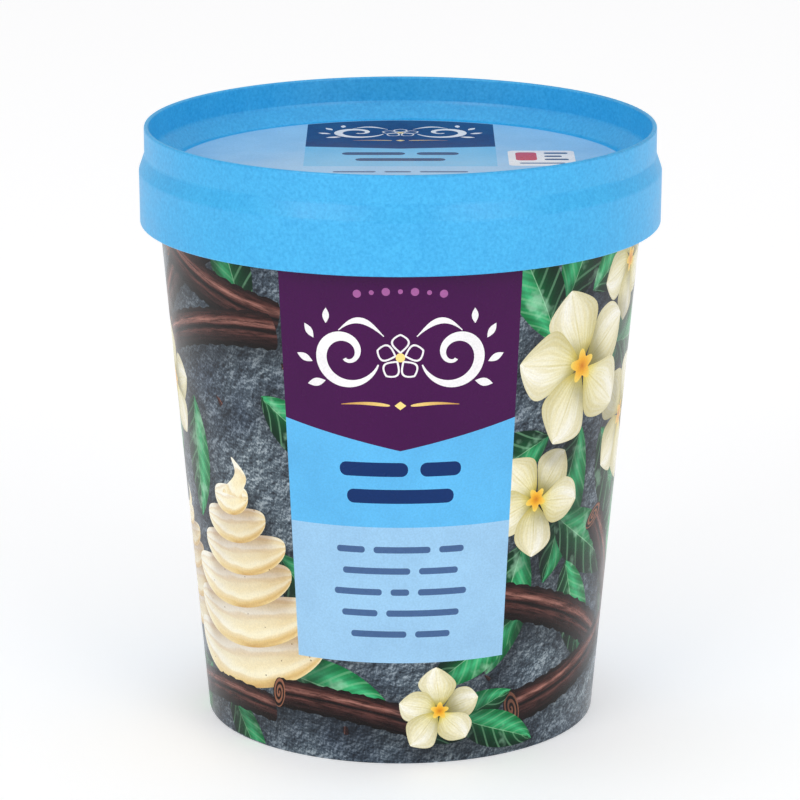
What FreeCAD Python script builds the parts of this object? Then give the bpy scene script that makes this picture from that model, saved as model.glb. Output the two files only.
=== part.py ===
"""Ice cream carton, 500 ml: a printed paperboard tub with a snapped-on moulded plastic lid.

Frame: +Z up, origin at the centre of the tub's foot, on the table. The front of the print faces -Y.
Units are millimetres. The carton is shut, so the tub is solid up to its fill level.
"""

import FreeCAD
import Part
import os
import Sketcher

DRIVING_DIMENSIONS = (
    # paperboard tub
    ("base_radius", 37.0, "outside of the wall at the table"),
    ("mouth_radius", 46.05, "outside of the wall at the rolled rim"),
    ("mouth_height", 105.0, "centre of the rolled rim above the table"),
    ("bead_radius", 1.15, "rolled rim, radius of its round section"),
    ("board", 0.45, "thickness of one layer of paperboard"),
    ("base_recess", 6.0, "underside of the contents above the table"),
    ("foot_round", 0.3, "rounding of the folded foot"),
    ("seam_angle", 9.0, "overlap of the side seam, degrees round the tub"),
    ("seam_step", 0.3, "height of the overlap above the wall"),
    ("seam_start", 0.6, "lower end of the side seam above the table"),
    ("base_clearance", 0.1, "gap round the base disc"),
    ("fill_gap", 0.3, "gap between the contents and the lid"),
    # lid
    ("lid_wall", 0.9, "thickness of skirt, plug and panel"),
    ("rim_wall", 0.85, "thickness of the upright rim"),
    ("rim_draft", 0.15, "how much the rim opens towards its top, inside"),
    ("skirt_draft", 0.08, "how much the skirt draws in at its lower edge"),
    ("lid_clearance", 0.2, "gap beside the rolled rim"),
    ("seat_gap", 0.1, "gap between the plug's slope and the rolled rim"),
    ("plug_slope", 50.0, "slope of the plug wall from level, degrees"),
    ("panel_rise", 0.25, "panel above the foot of the plug's slope"),
    ("panel_depth", 8.1, "panel below the top of the rim"),
    ("rim_height", 5.3, "upright rim above the shoulder"),
    ("shoulder_height", 3.0, "height of the sloping shoulder"),
    ("shoulder_step", 1.05, "how far the skirt stands out from the rim"),
    ("skirt_height", 9.85, "skirt below the shoulder"),
    ("rim_round", 0.38, "rounding of the rim's top edges"),
    ("shoulder_round", 1.2, "rounding of the shoulder's bends"),
    ("skirt_round", 0.3, "rounding of the skirt's lower edges"),
    ("floor_round", 0.6, "rounding round the panel"),
    # lid label
    ("label_margin", 1.7, "panel left bare round the label"),
    ("label_board", 0.2, "thickness of the label disc"),
)

# Sizes that follow from the driving ones, as expressions on the sheet.
BEAD_CENTRE = "(dims.mouth_radius - dims.board + dims.bead_radius)"
SKIRT_RADIUS = f"({BEAD_CENTRE} + dims.bead_radius + dims.lid_clearance + dims.lid_wall)"
SKIRT_FOOT_RADIUS = f"({SKIRT_RADIUS} - dims.skirt_draft)"
RIM_RADIUS = f"({SKIRT_RADIUS} - dims.shoulder_step)"
RIM_BORE = f"({RIM_RADIUS} - dims.rim_wall)"
CREASE_RADIUS = f"({RIM_BORE} - dims.rim_draft)"
PLUG_RADIUS = "(dims.mouth_radius - dims.board - dims.lid_clearance)"
LID_SEAT = (
    "(dims.mouth_height + (dims.bead_radius + dims.seat_gap"
    " - (dims.bead_radius + dims.lid_clearance) * sin(dims.plug_slope)) / cos(dims.plug_slope))"
)
PANEL_TOP = f"({LID_SEAT} + dims.panel_rise)"
PANEL_UNDER = f"({PANEL_TOP} - dims.lid_wall)"
LID_TOP = f"({PANEL_TOP} + dims.panel_depth)"
SHOULDER_TOP = f"({LID_TOP} - dims.rim_height)"
SHOULDER_FOOT = f"({SHOULDER_TOP} - dims.shoulder_height)"
SKIRT_FOOT = f"({SHOULDER_FOOT} - dims.skirt_height)"
SLOPE_START = f"({PLUG_RADIUS} - dims.lid_wall / sin(dims.plug_slope))"
FLOOR_RADIUS = f"({SLOPE_START} + dims.panel_rise / tan(dims.plug_slope))"
CREASE_HEIGHT = f"({LID_SEAT} + ({CREASE_RADIUS} - {SLOPE_START}) * tan(dims.plug_slope))"
ROOF_HEIGHT = f"({LID_SEAT} + ({CREASE_RADIUS} - {PLUG_RADIUS}) * tan(dims.plug_slope))"
FILL_LEVEL = f"({PANEL_UNDER} - dims.fill_gap)"
WALL_TAPER = "((dims.mouth_radius - dims.base_radius) / dims.mouth_height)"
MOUTH_BORE = "(dims.mouth_radius - dims.board)"
HEM_RADIUS = "(dims.base_radius - 3 * dims.board)"
RECESS_RADIUS = f"({HEM_RADIUS} + {WALL_TAPER} * dims.base_recess)"
DISC_UNDER = "(dims.base_recess - dims.board)"
DISC_RADIUS = f"({HEM_RADIUS} + {WALL_TAPER} * {DISC_UNDER} - dims.base_clearance)"
LABEL_RADIUS = f"({FLOOR_RADIUS} - dims.label_margin)"
LABEL_TOP = f"({PANEL_TOP} + dims.label_board)"

AXIS = "0"  # a coordinate that lies on one of the sketch's axes
ROUGH_SIZE = 40.0  # sketches are drawn roughly this large, before their constraints move them
TOUCH = 0.01  # how near an edge lies to the circle that it is looked up by


def make_sheet(doc):
    """The sheet of driving dimensions, one aliased cell for each."""
    sheet = doc.addObject("Spreadsheet::Sheet", "dims")
    for row, (alias, value, note) in enumerate(DRIVING_DIMENSIONS, start=1):
        sheet.set(f"A{row}", alias)
        sheet.set(f"B{row}", str(value))
        sheet.set(f"C{row}", note)
        sheet.setAlias(f"B{row}", alias)
    doc.recompute()
    return sheet


def new_body(doc, name):
    body = doc.addObject("PartDesign::Body", name)
    body.Label = name
    return body


def new_sketch(body, name, plane_role):
    """An empty sketch on one of the body's own origin planes."""
    sketch = body.newObject("Sketcher::SketchObject", name)
    plane = next(f for f in body.Origin.OriginFeatures if f.Role == plane_role)
    sketch.AttachmentSupport = [(plane, "")]
    sketch.MapMode = "FlatFace"
    return sketch


def pin_point(sketch, geometry, point, label, across, up):
    """Binds a point's two coordinates to expressions on the sheet, or holds it on an axis."""
    for axis, expression, kind in ((-2, across, "DistanceX"), (-1, up, "DistanceY")):
        if expression == AXIS:
            sketch.addConstraint(Sketcher.Constraint("PointOnObject", geometry, point, axis))
        else:
            index = sketch.addConstraint(
                Sketcher.Constraint(kind, -1, 1, geometry, point, ROUGH_SIZE)
            )
            name = f"{label}_{kind}"
            sketch.renameConstraint(index, name)
            sketch.setExpression(f"Constraints.{name}", expression)


def draw_outline(sketch, corners):
    """A closed outline of straight lines through the named corners (name, across, up)."""
    count = len(corners)
    rough = [
        FreeCAD.Vector(ROUGH_SIZE, 0, 0)
        + FreeCAD.Rotation(FreeCAD.Vector(0, 0, 1), 360.0 * i / count).multVec(
            FreeCAD.Vector(ROUGH_SIZE, 0, 0)
        )
        for i in range(count)
    ]
    for i in range(count):
        sketch.addGeometry(Part.LineSegment(rough[i], rough[(i + 1) % count]), False)
    for i in range(count):
        sketch.addConstraint(Sketcher.Constraint("Coincident", i, 2, (i + 1) % count, 1))
    for i, (label, across, up) in enumerate(corners):
        pin_point(sketch, i, 1, label, across, up)


def revolve(body, name, sketch, angle=360, about_plane=False):
    """A Revolution of the sketch about the Z axis."""
    feature = body.newObject("PartDesign::Revolution", name)
    feature.Profile = sketch
    feature.ReferenceAxis = (sketch, ["V_Axis"])
    if isinstance(angle, str):
        feature.setExpression("Angle", angle)
    else:
        feature.Angle = angle
    feature.Midplane = about_plane
    sketch.Visibility = False
    return feature


def revolved_outline(body, name, corners, plane_role="XZ_Plane", **options):
    sketch = new_sketch(body, f"{name}_outline", plane_role)
    draw_outline(sketch, corners)
    return revolve(body, name, sketch, **options)


def edge_at(feature, radius, height):
    """The name of the round edge about Z with this radius at this height."""
    for i, edge in enumerate(feature.Shape.Edges, start=1):
        curve = edge.Curve
        if not isinstance(curve, Part.Circle):
            continue
        near = abs(curve.Radius - radius) < TOUCH and abs(curve.Center.z - height) < TOUCH
        if near and abs(curve.Center.x) < TOUCH and abs(curve.Center.y) < TOUCH:
            return f"Edge{i}"
    raise ValueError(f"{feature.Label} has no round edge of radius {radius} at height {height}")


def round_edges(body, name, base, size, circles):
    """Fillets the round edges at (radius, height), both expressions, to a size on the sheet."""
    body.Document.recompute()
    edges = [
        edge_at(base, base.evalExpression(radius), base.evalExpression(height))
        for radius, height in circles
    ]
    fillet = body.newObject("PartDesign::Fillet", name)
    fillet.Base = (base, edges)
    fillet.setExpression("Radius", f"dims.{size}")
    return fillet


def make_tub(doc):
    """Paperboard wall, folded foot and rolled rim, in one solid with the contents."""
    body = new_body(doc, "tub")
    wall = revolved_outline(
        body,
        "wall_and_contents",
        (
            ("foot", "dims.base_radius", AXIS),
            ("mouth", "dims.mouth_radius", "dims.mouth_height"),
            ("mouth_inside", MOUTH_BORE, "dims.mouth_height"),
            ("fill_edge", MOUTH_BORE, FILL_LEVEL),
            ("fill_middle", AXIS, FILL_LEVEL),
            ("recess_middle", AXIS, "dims.base_recess"),
            ("recess_edge", RECESS_RADIUS, "dims.base_recess"),
            ("hem", HEM_RADIUS, AXIS),
        ),
    )
    foot = round_edges(
        body,
        "foot_rounding",
        wall,
        "foot_round",
        (("dims.base_radius", AXIS), (HEM_RADIUS, AXIS)),
    )
    body.Tip = foot

    section = new_sketch(body, "bead_section", "XZ_Plane")
    section.addGeometry(
        Part.Circle(FreeCAD.Vector(ROUGH_SIZE, ROUGH_SIZE, 0), FreeCAD.Vector(0, 0, 1), 1.0), False
    )
    radius = section.addConstraint(Sketcher.Constraint("Radius", 0, 1.0))
    section.renameConstraint(radius, "section_radius")
    section.setExpression("Constraints.section_radius", "dims.bead_radius")
    pin_point(section, 0, 3, "centre", BEAD_CENTRE, "dims.mouth_height")
    revolve(body, "rolled_rim", section)

    seam_top = "(dims.mouth_height - dims.bead_radius)"
    low_wall = f"(dims.base_radius + {WALL_TAPER} * dims.seam_start)"
    high_wall = f"(dims.base_radius + {WALL_TAPER} * {seam_top})"
    seam = revolved_outline(
        body,
        "side_seam",
        (
            ("low_inside", f"{low_wall} - dims.board", "dims.seam_start"),
            ("low_outside", f"{low_wall} + dims.seam_step", "dims.seam_start"),
            ("high_outside", f"{high_wall} + dims.seam_step", seam_top),
            ("high_inside", f"{high_wall} - dims.board", seam_top),
        ),
        plane_role="YZ_Plane",
        angle="dims.seam_angle",
        about_plane=True,
    )
    body.Tip = seam
    return body


def make_base_disc(doc):
    """Paperboard disc that closes the foot, inside the folded hem."""
    body = new_body(doc, "tub_base")
    body.Tip = revolved_outline(
        body,
        "disc",
        (
            ("under_middle", AXIS, DISC_UNDER),
            ("under_edge", DISC_RADIUS, DISC_UNDER),
            ("upper_edge", DISC_RADIUS, "dims.base_recess"),
            ("upper_middle", AXIS, "dims.base_recess"),
        ),
    )
    return body


def make_lid(doc):
    """Moulded lid: skirt, shoulder, upright rim, sloping plug wall and sunken panel."""
    body = new_body(doc, "lid")
    bore_at_foot = f"({SKIRT_FOOT_RADIUS} - dims.lid_wall)"
    bore_at_shoulder = f"({SKIRT_RADIUS} - dims.lid_wall)"
    shell = revolved_outline(
        body,
        "shell",
        (
            ("rim_top", RIM_RADIUS, LID_TOP),
            ("rim_foot", RIM_RADIUS, SHOULDER_TOP),
            ("shoulder_foot", SKIRT_RADIUS, SHOULDER_FOOT),
            ("skirt_foot", SKIRT_FOOT_RADIUS, SKIRT_FOOT),
            ("skirt_foot_inside", bore_at_foot, SKIRT_FOOT),
            ("skirt_bore_top", bore_at_shoulder, SHOULDER_FOOT),
            ("roof", CREASE_RADIUS, ROOF_HEIGHT),
            ("plug_foot", PLUG_RADIUS, LID_SEAT),
            ("panel_under_edge", PLUG_RADIUS, PANEL_UNDER),
            ("panel_under_middle", AXIS, PANEL_UNDER),
            ("panel_middle", AXIS, PANEL_TOP),
            ("panel_edge", FLOOR_RADIUS, PANEL_TOP),
            ("crease", CREASE_RADIUS, CREASE_HEIGHT),
            ("rim_bore_top", RIM_BORE, LID_TOP),
        ),
    )
    bends = round_edges(
        body,
        "shoulder_bends",
        shell,
        "shoulder_round",
        (
            (RIM_RADIUS, SHOULDER_TOP),
            (SKIRT_RADIUS, SHOULDER_FOOT),
            (CREASE_RADIUS, CREASE_HEIGHT),
        ),
    )
    floor = round_edges(body, "panel_corner", bends, "floor_round", ((FLOOR_RADIUS, PANEL_TOP),))
    skirt = round_edges(
        body,
        "skirt_edges",
        floor,
        "skirt_round",
        ((SKIRT_FOOT_RADIUS, SKIRT_FOOT), (bore_at_foot, SKIRT_FOOT)),
    )
    body.Tip = round_edges(
        body,
        "rim_edges",
        skirt,
        "rim_round",
        ((RIM_RADIUS, LID_TOP), (RIM_BORE, LID_TOP)),
    )
    return body


def make_lid_label(doc):
    """Printed disc on the lid's sunken panel."""
    body = new_body(doc, "lid_label")
    body.Tip = revolved_outline(
        body,
        "disc",
        (
            ("under_middle", AXIS, PANEL_TOP),
            ("under_edge", LABEL_RADIUS, PANEL_TOP),
            ("upper_edge", LABEL_RADIUS, LABEL_TOP),
            ("upper_middle", AXIS, LABEL_TOP),
        ),
    )
    return body


def check_document(doc, bodies):
    """Stops if any object failed or any sub-part isn't one valid solid."""
    for item in doc.Objects:
        if "Invalid" in item.State or "Error" in item.State:
            raise RuntimeError(f"{item.Label} failed: {item.State}")
    for body in bodies:
        shape = body.Shape
        if shape.isNull() or not shape.isValid() or len(shape.Solids) != 1:
            raise RuntimeError(f"{body.Label} isn't one valid solid")


def main():
    doc = FreeCAD.newDocument("ice_cream_carton")
    make_sheet(doc)
    bodies = [make_tub(doc), make_base_disc(doc), make_lid(doc), make_lid_label(doc)]
    doc.recompute()
    check_document(doc, bodies)
    os.makedirs("parts", exist_ok=True)
    for body in bodies:
        body.Shape.exportStep(f"parts/{body.Label}.step")
        box = body.Shape.BoundBox
        print(f"{body.Label}: {body.Shape.Volume / 1000:.2f} cm3, z {box.ZMin:.2f} to {box.ZMax:.2f}")


main()
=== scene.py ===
"""Ice cream carton: a printed paperboard tub with a blue moulded lid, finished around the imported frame.

Each print is one mesh, cut along the edge of every printed shape, so that a shape is a field of faces
with a paint of its own. The tub's print is laid out flat in millimetres, as (along, up), where along is
the angle from the front times UNROLL_RADIUS, and is then rolled on to the tub's cone.
"""

import math
import random

import bpy
import numpy as np
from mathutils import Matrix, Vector
from mathutils.geometry import delaunay_2d_cdt


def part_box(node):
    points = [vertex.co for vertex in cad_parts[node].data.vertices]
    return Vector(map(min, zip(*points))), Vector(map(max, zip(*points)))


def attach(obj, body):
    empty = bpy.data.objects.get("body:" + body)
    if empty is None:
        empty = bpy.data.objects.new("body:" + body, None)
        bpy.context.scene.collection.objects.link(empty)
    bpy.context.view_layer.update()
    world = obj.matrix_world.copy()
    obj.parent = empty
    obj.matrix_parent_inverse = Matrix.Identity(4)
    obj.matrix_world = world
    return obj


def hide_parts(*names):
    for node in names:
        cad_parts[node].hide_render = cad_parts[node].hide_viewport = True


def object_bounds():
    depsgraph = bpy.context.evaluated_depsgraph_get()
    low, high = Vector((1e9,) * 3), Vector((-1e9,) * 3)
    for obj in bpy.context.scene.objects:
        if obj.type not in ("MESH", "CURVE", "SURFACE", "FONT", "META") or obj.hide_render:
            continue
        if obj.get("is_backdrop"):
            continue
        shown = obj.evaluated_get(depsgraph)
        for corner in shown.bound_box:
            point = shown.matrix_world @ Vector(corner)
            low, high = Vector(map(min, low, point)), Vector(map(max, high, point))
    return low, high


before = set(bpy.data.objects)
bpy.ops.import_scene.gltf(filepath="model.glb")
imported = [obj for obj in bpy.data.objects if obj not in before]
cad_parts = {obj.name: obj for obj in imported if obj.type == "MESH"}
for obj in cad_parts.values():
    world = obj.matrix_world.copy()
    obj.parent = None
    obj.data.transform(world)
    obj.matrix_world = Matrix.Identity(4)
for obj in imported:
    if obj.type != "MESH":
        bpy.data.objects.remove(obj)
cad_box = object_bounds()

MM = 0.001
OWN_UNIT = 1 / MM  # a noise size, in millimetres, that leaves a pattern in its own units
TOUCH = 1e-4  # points this near in millimetres lie on one line
SHARP_ANGLE = math.radians(35)

# ---- sizes of the carton, millimetres
FOOT_RADIUS = 37.0
MOUTH_RADIUS = 46.05
MOUTH_HEIGHT = 105.0
FOOT_ROUND = 0.3
BASE_RECESS = 6.0
HEM_RADIUS = 35.65
RECESS_RADIUS = 36.17
BEAD_RADIUS = 1.15
BOARD = 0.45
BEAD_CENTRE = MOUTH_RADIUS - BOARD + BEAD_RADIUS
FILL_LEVEL = 104.386
SEAM_HALF_ANGLE = math.radians(4.5)
SEAM_STEP = 0.28
SEAM_STEP_ANGLE = math.radians(0.15)

UNROLL_RADIUS = 42.0
HALF_TURN = math.pi * UNROLL_RADIUS
GRID_ANGLE = 1.25  # degrees between the columns of points that keep the wall round
GRID_RISE = 1.4  # and between its rows
LONGEST_EDGE = 0.95  # of a printed outline, so that it follows the round wall
WALL_LOW = FOOT_ROUND
WALL_HIGH = 104.15  # where the wall runs into the rolled rim

LIGHT_FROM = (-0.9, 1.3)  # the way, along and up, that the printed pictures are lit from
SHADOWS = ((0.7, 1.6, 0.6), (2.0, 4.6, 0.45))  # each shadow's drop, softness and weight
SHADE_DEPTH = 0.85  # of the darkest printed shadow


def wall_radius(height):
    return FOOT_RADIUS + (MOUTH_RADIUS - FOOT_RADIUS) * height / MOUTH_HEIGHT


def smooth_step(x, low, high):
    t = np.clip((x - low) / (high - low), 0.0, 1.0)
    return t * t * (3 - 2 * t)


# ---- nodes
class Paint:
    """A material, with short ways to add nodes to it."""

    def __init__(self, name):
        self.material = bpy.data.materials.new(name)
        self.material.use_nodes = True
        self.tree = self.material.node_tree
        self.shader = self.tree.nodes["Principled BSDF"]

    def plug(self, socket, value):
        if isinstance(value, bpy.types.NodeSocket):
            self.tree.links.new(value, socket)
        else:
            socket.default_value = value

    def set(self, socket, value):
        """A value or a colour for the shader."""
        self.plug(self.shader.inputs[socket], value)

    def add(self, kind, inputs=(), **settings):
        node = self.tree.nodes.new("ShaderNode" + kind)
        for key, value in settings.items():
            setattr(node, key, value)
        for key, value in dict(inputs).items():
            self.plug(node.inputs[key], value)
        return node

    def math(self, operation, a, b=0.0):
        return self.add("Math", {0: a, 1: b}, operation=operation).outputs[0]

    def plus(self, a, b):
        return self.math("ADD", a, b)

    def minus(self, a, b):
        return self.math("SUBTRACT", a, b)

    def times(self, a, b):
        return self.math("MULTIPLY", a, b)

    def length(self, x, y):
        return self.math("SQRT", self.plus(self.times(x, x), self.times(y, y)))

    def mapped(self, value, low, high, to_low=0.0, to_high=1.0):
        inputs = {"Value": value, 1: low, 2: high, 3: to_low, 4: to_high}
        return self.add("MapRange", inputs, interpolation_type="SMOOTHSTEP").outputs[0]

    def ramp(self, value, *stops):
        """A colour for each place along the value; colours are sRGB from 0 to 255."""
        node = self.add("ValToRGB", {"Fac": value})
        elements = node.color_ramp.elements
        while len(elements) < len(stops):
            elements.new(0.5)
        for element, (place, colour) in zip(elements, stops):
            element.position = place
            element.color = linear(colour)
        return node.outputs["Color"]

    def mix(self, factor, a, b, blend="MIX"):
        inputs = {"Factor": factor, 6: a, 7: b}
        return self.add("Mix", inputs, data_type="RGBA", blend_type=blend).outputs[2]

    def tint(self, a, b):
        """One colour times another."""
        return self.mix(1.0, a, b, "MULTIPLY")

    def place(self):
        return self.add("TexCoord").outputs["Object"]

    def noise(self, size_mm, detail=3.0, roughness=0.55, vector=None):
        inputs = {"Vector": vector or self.place(), "Scale": 1 / (size_mm * MM)}
        inputs |= {"Detail": detail, "Roughness": roughness}
        return self.add("TexNoise", inputs).outputs["Fac"]

    def relief(self, size_mm, vector, shift, detail=3.0, roughness=0.55):
        """Noise less the same noise a little way off, about 0 in the middle: bumps lit from the side."""
        moved = self.add("VectorMath", {0: vector, 1: shift}, operation="ADD").outputs[0]
        near = self.noise(size_mm, detail, roughness, vector)
        return self.minus(near, self.noise(size_mm, detail, roughness, moved))

    def pattern(self):
        """The two coordinates of the field's own pattern."""
        map_node = self.add("UVMap", uv_map="pattern")
        split = self.add("SeparateXYZ", {0: map_node.outputs[0]})
        return split.outputs[0], split.outputs[1]

    def pair(self, x, y, z=0.0):
        return self.add("CombineXYZ", {0: x, 1: y, 2: z}).outputs[0]

    def bump(self, height, distance_mm, strength=1.0):
        inputs = {"Height": height, "Distance": distance_mm * MM, "Strength": strength}
        self.set("Normal", self.add("Bump", inputs).outputs[0])


def linear(colour):
    """sRGB from 0 to 255 as a linear colour with alpha."""
    channels = [c / 255 for c in colour]
    return [c / 12.92 if c <= 0.04045 else ((c + 0.055) / 1.055) ** 2.4 for c in channels] + [1.0]


def printed(paint, colour, roughness=0.25, gloss=0.2, dark=(16, 18, 24)):
    """Varnished print on board: the pictures' soft shadows, a fine grain and a faint orange peel."""
    shade = paint.add("Attribute", attribute_name="shade").outputs["Fac"]
    shaded = paint.mix(paint.times(shade, SHADE_DEPTH), colour, linear(dark))
    grain = paint.mapped(paint.noise(0.35, 2.0), 0.3, 0.7, 0.95, 1.05)
    grained = paint.tint(shaded, paint.pair(grain, grain, grain))
    paint.set("Base Color", grained)
    rough = paint.mapped(paint.noise(6.0), 0.3, 0.7, roughness - 0.04, roughness + 0.05)
    paint.set("Roughness", rough)
    paint.set("Specular IOR Level", gloss)
    paint.bump(paint.noise(1.6, 3.0), 0.008, 0.5)
    return paint.material


# ---- paints
def slate_paint():
    """Rough grey stone, lit from the side."""
    paint = Paint("print_slate")
    blotch = paint.noise(15.0, 3.0)
    grit = paint.relief(0.85, paint.place(), (0.0002, 0.0, -0.0003), 4.0, 0.75)
    lump = paint.relief(4.0, paint.place(), (0.0006, 0.0, -0.0009), 3.0, 0.6)
    value = paint.plus(paint.times(grit, 1.5), paint.times(lump, 1.1))
    fine = paint.ramp(
        paint.mapped(value, -0.42, 0.42),
        (0.0, (40, 46, 54)), (0.42, (84, 97, 107)), (0.6, (98, 112, 122)),
        (1.0, (176, 188, 194)),
    )
    tone = paint.ramp(blotch, (0.36, (178, 184, 198)), (0.64, (255, 255, 255)))
    return printed(paint, paint.tint(fine, tone))


def petal_paint():
    """Gold at the root, and cream with fine veins and a fold along the middle."""
    paint = Paint("print_petal")
    u, v = paint.pattern()
    along = paint.ramp(
        u,
        (0.0, (220, 172, 36)), (0.13, (240, 224, 124)), (0.3, (244, 239, 204)),
        (0.65, (250, 247, 232)), (1.0, (255, 254, 248)),
    )
    across = paint.ramp(
        paint.mapped(v, -1.0, 1.0),
        (0.0, (222, 217, 186)), (0.2, (247, 244, 226)), (0.46, (253, 251, 240)),
        (0.5, (236, 230, 198)), (0.54, (254, 253, 248)), (0.85, (255, 255, 255)),
        (1.0, (236, 233, 216)),
    )
    lines = paint.pair(paint.times(u, 2.2), paint.times(v, 10.0))
    veins = paint.noise(OWN_UNIT, 2.0, vector=lines)
    streaks = paint.ramp(
        paint.mapped(veins, 0.35, 0.65),
        (0.0, (246, 242, 224)), (1.0, (255, 255, 255)),
    )
    shaded = paint.tint(along, across)
    return printed(paint, paint.tint(shaded, streaks), dark=(104, 98, 52))


def throat_paint():
    paint = Paint("print_throat")
    u, v = paint.pattern()
    out = paint.length(u, v)
    rings = paint.ramp(out, (0.0, (206, 120, 20)), (0.45, (246, 178, 44)), (1.0, (250, 214, 96)))
    return printed(paint, rings)


def leaf_paint():
    """A dark and a lit half, with a pale middle vein, ribs, and a patchy shine."""
    paint = Paint("print_leaf")
    u, v = paint.pattern()
    halves = paint.ramp(
        paint.mapped(v, -1.0, 1.0),
        (0.0, (0, 42, 24)), (0.3, (2, 72, 38)), (0.48, (8, 96, 50)),
        (0.5, (150, 210, 164)), (0.52, (30, 142, 82)), (0.8, (64, 184, 122)),
        (1.0, (8, 118, 62)),
    )
    back = paint.times(paint.math("ABSOLUTE", v), 9.0)
    ribs = paint.math("SINE", paint.minus(paint.times(u, 46.0), back))
    vein = paint.times(paint.mapped(ribs, 0.7, 1.0), 0.3)
    veined = paint.mix(vein, halves, linear((146, 212, 162)))
    trough = paint.times(paint.mapped(ribs, -0.4, -1.0), 0.28)
    folded = paint.mix(trough, veined, linear((0, 38, 20)))
    sheen = paint.times(paint.mapped(paint.noise(5.0, 3.0), 0.56, 0.72), 0.5)
    return printed(paint, paint.mix(sheen, folded, linear((172, 226, 190))))


def bark_paint():
    """Two curls of bark side by side, with a dark groove where they meet."""
    paint = Paint("print_bark")
    u, v = paint.pattern()
    curls = paint.ramp(
        paint.mapped(v, -1.0, 1.0),
        (0.0, (16, 10, 12)), (0.2, (66, 40, 40)), (0.36, (104, 66, 62)),
        (0.47, (40, 22, 24)), (0.53, (14, 8, 10)), (0.6, (84, 48, 46)),
        (0.76, (176, 126, 116)), (0.88, (96, 56, 52)), (1.0, (34, 20, 22)),
    )
    grain = paint.pair(paint.times(u, 1.3), paint.times(v, 6.5))
    streak = paint.noise(OWN_UNIT, 4.0, 0.68, grain)
    streaks = paint.ramp(
        paint.mapped(streak, 0.34, 0.66),
        (0.0, (110, 88, 88)), (1.0, (255, 246, 240)),
    )
    return printed(paint, paint.tint(curls, streaks))


def bark_end_paint():
    paint = Paint("print_bark_end")
    u, v = paint.pattern()
    out = paint.length(u, v)
    turn = paint.math("ARCTAN2", v, u)
    spiral = paint.math("SINE", paint.plus(paint.times(out, 15.0), turn))
    tone = paint.ramp(paint.mapped(spiral, -0.6, 0.6), (0.0, (24, 12, 12)), (1.0, (146, 96, 74)))
    return printed(paint, tone)


def cream_paint():
    """One turn of a swirl of ice cream: a fluted roll, lit from above on the left."""
    paint = Paint("print_cream")
    u, v = paint.pattern()
    ends = paint.times(u, u)
    edge = paint.plus(paint.times(ends, 0.45), paint.times(v, v))
    inside = paint.math("MAXIMUM", paint.minus(1.0, edge), 0.0)
    towards = paint.times(paint.math("SQRT", inside), 0.5)
    across = paint.minus(paint.times(v, 0.4), paint.times(u, 0.26))
    # the flutes close up where the roll turns away behind the swirl
    left = paint.math("MAXIMUM", paint.minus(1.0, ends), 0.08)
    closing = paint.math("SQRT", left)
    wander = paint.noise(OWN_UNIT, 2.0, 0.5, paint.pair(paint.times(u, 1.2), v))
    drag = paint.plus(paint.math("DIVIDE", v, closing), paint.times(wander, 0.9))
    phase = paint.times(drag, 8.5)
    flutes = paint.times(paint.math("COSINE", phase), 0.2)
    torn = paint.pair(paint.times(u, 5.0), paint.times(drag, 8.0))
    grain = paint.times(paint.relief(OWN_UNIT, torn, (0.12, -0.3, 0.0), 3.0, 0.5), 0.22)
    lit = paint.plus(paint.plus(towards, across), paint.plus(flutes, grain))
    tones = paint.ramp(
        paint.mapped(lit, -0.7, 0.95),
        (0.0, (200, 154, 88)), (0.2, (232, 202, 138)), (0.42, (249, 232, 186)),
        (0.7, (254, 245, 212)), (1.0, (255, 252, 238)),
    )
    groove = paint.times(paint.mapped(paint.math("SINE", phase), -0.3, -1.0), 0.34)
    grooved = paint.mix(groove, tones, linear((222, 184, 120)))
    cells = paint.add("TexVoronoi", {"Vector": paint.place(), "Scale": 1 / (2.8 * MM)})
    seed = paint.mapped(cells.outputs["Distance"], 0.08, 0.05)
    speckled = paint.mix(paint.times(seed, 0.7), grooved, linear((80, 54, 34)))
    return printed(paint, speckled, dark=(150, 100, 44))


def field_paint(name, colour, roughness=0.25, gloss=0.2):
    """A plain field of ink, very slightly uneven."""
    paint = Paint(name)
    tone = paint.ramp(paint.noise(9.0, 4.0), (0.3, (243, 243, 245)), (0.7, (255, 255, 255)))
    return printed(paint, paint.tint(linear(colour), tone), roughness, gloss)


def gold_paint():
    paint = Paint("print_gold")
    u, _ = paint.pattern()
    # the gold is lightest halfway along the rule and darker towards both ends: a painted sheen, not a
    # change in the ink
    tone = paint.ramp(u, (0.0, (206, 150, 78)), (0.5, (255, 226, 140)), (1.0, (206, 150, 78)))
    return printed(paint, tone)


def board_paint():
    """Bare paperboard: matte, with short fibres."""
    paint = Paint("bare_board")
    lengthwise = {0: paint.place(), 1: (1.0, 0.25, 1.0)}
    stretched = paint.add("VectorMath", lengthwise, operation="MULTIPLY")
    fibre = paint.noise(0.5, 5.0, 0.7, stretched.outputs[0])
    tone = paint.ramp(fibre, (0.3, (206, 198, 182)), (0.7, (240, 235, 223)))
    paint.set("Base Color", tone)
    paint.set("Roughness", 0.85)
    paint.bump(fibre, 0.05, 0.6)
    return paint.material


def lid_paint():
    """Moulded plastic with a fine spark-eroded texture."""
    paint = Paint("lid_plastic")
    speck = paint.noise(0.6, 3.0, 0.65)
    cloud = paint.noise(5.0, 3.0)
    value = paint.plus(paint.times(speck, 0.8), paint.times(cloud, 0.2))
    tone = paint.ramp(value, (0.36, (10, 163, 228)), (0.64, (52, 186, 245)))
    paint.set("Base Color", tone)
    rough = paint.mapped(cloud, 0.3, 0.7, 0.38, 0.45)
    paint.set("Roughness", rough)
    paint.set("Specular IOR Level", 0.8)
    paint.bump(speck, 0.02, 0.5)
    return paint.material


# ---- printed shapes
def whole_turn(count):
    """Angles spread evenly over a whole turn."""
    return np.linspace(0, 2 * np.pi, count + 1)[:-1]


def pairs(x, y):
    return np.column_stack([x, y])


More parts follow.
